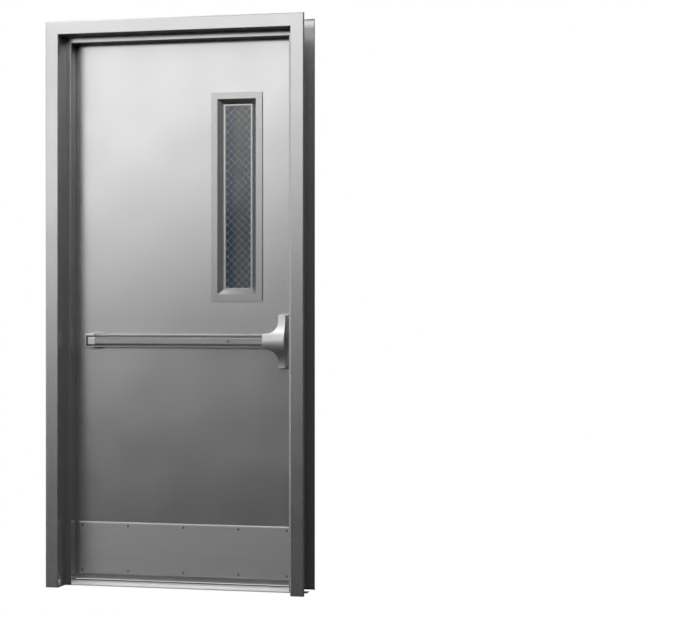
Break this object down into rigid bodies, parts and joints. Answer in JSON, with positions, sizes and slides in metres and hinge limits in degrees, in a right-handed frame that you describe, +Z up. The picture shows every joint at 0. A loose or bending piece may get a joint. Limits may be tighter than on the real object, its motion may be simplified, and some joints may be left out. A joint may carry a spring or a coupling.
{
  "type": "hollow metal door in a pressed steel frame",
  "caption": "Hollow metal door in a pressed steel frame with a touch-bar exit device, a narrow wired-glass lite, a kick plate, butt hinges and an aluminium threshold.",
  "frame": {"origin": "underside of the threshold, at the middle of the doorway and of the frame's depth, at floor level", "axes": "+X from the hinge jamb to the strike jamb, +Y through the wall from the push side to the pull side, +Z up"},
  "size_m": [1.029, 0.1977, 2.184],
  "materials": {
    "frame_paint": "satin factory primer-grey paint on pressed steel",
    "leaf_paint": "satin factory primer-grey paint on flat steel sheet",
    "lite_frame_paint": "satin grey paint",
    "glazing_tape": "matt glazing tape",
    "wired_glass": "polished wired glass",
    "honeycomb_core": "kraft honeycomb",
    "kick_plate_steel": "satin stainless steel, brushed lengthwise",
    "mill_aluminium": "mill finish",
    "silencer_rubber": "matt grey rubber",
    "primed_steel": "primed",
    "device_aluminium": "satin anodised",
    "device_casting": "light metallic paint",
    "plated_steel": "zinc plated",
    "hinge_steel": "satin chrome"
  },
  "bodies": {
    "frame": {"hinge_jamb": "frame_paint", "strike_jamb": "frame_paint", "frame_head": "frame_paint", "hinge_jamb_floor_clip": "primed_steel", "strike_jamb_floor_clip": "primed_steel", "hinge_jamb_wall_anchors": "primed_steel", "strike_jamb_wall_anchors": "primed_steel", "hinge_reinforcements": "primed_steel", "strike_reinforcement": "primed_steel", "rim_strike": "plated_steel", "door_silencers": "silencer_rubber", "threshold": "mill_aluminium", "top_hinge_jamb_leaf": "hinge_steel", "top_hinge_pin": "hinge_steel", "middle_hinge_jamb_leaf": "hinge_steel", "middle_hinge_pin": "hinge_steel", "bottom_hinge_jamb_leaf": "hinge_steel", "bottom_hinge_pin": "hinge_steel"},
    "leaf": {"leaf_push_face": "leaf_paint", "leaf_pull_face": "leaf_paint", "leaf_core": "honeycomb_core", "leaf_top_channel": "leaf_paint", "leaf_bottom_channel": "leaf_paint", "lite_frame_push": "lite_frame_paint", "lite_frame_pull": "lite_frame_paint", "lite_bead_push": "glazing_tape", "lite_bead_pull": "glazing_tape", "lite_glass": "wired_glass", "kick_plate": "kick_plate_steel", "exit_device_rail": "device_aluminium", "exit_device_end_cap": "device_casting", "exit_device_end_bracket": "plated_steel", "exit_device_chassis": "plated_steel", "exit_device_head_cover": "device_casting", "latch_bolt": "plated_steel", "dogging_spindle": "plated_steel", "pad_guide_posts": "plated_steel", "top_hinge_door_leaf": "hinge_steel", "middle_hinge_door_leaf": "hinge_steel", "bottom_hinge_door_leaf": "hinge_steel"},
    "push_pad": {"push_pad": "device_aluminium", "push_pad_end_block": "device_casting", "push_pad_carriers": "plated_steel"}
  },
  "joints": [
    {"name": "door_swing", "type": "hinge", "parent": "frame", "child": "leaf", "pos_m": [-0.45975, 0.1017, 0], "axis": [0, 0, 1], "range_deg": [0, 180]},
    {"name": "push_pad_press", "type": "slide", "parent": "leaf", "child": "push_pad", "axis": [0, 1, 0], "range_m": [0, 0.012], "stiffness_N_per_m": 1500, "springref_m": -0.008}
  ]
}
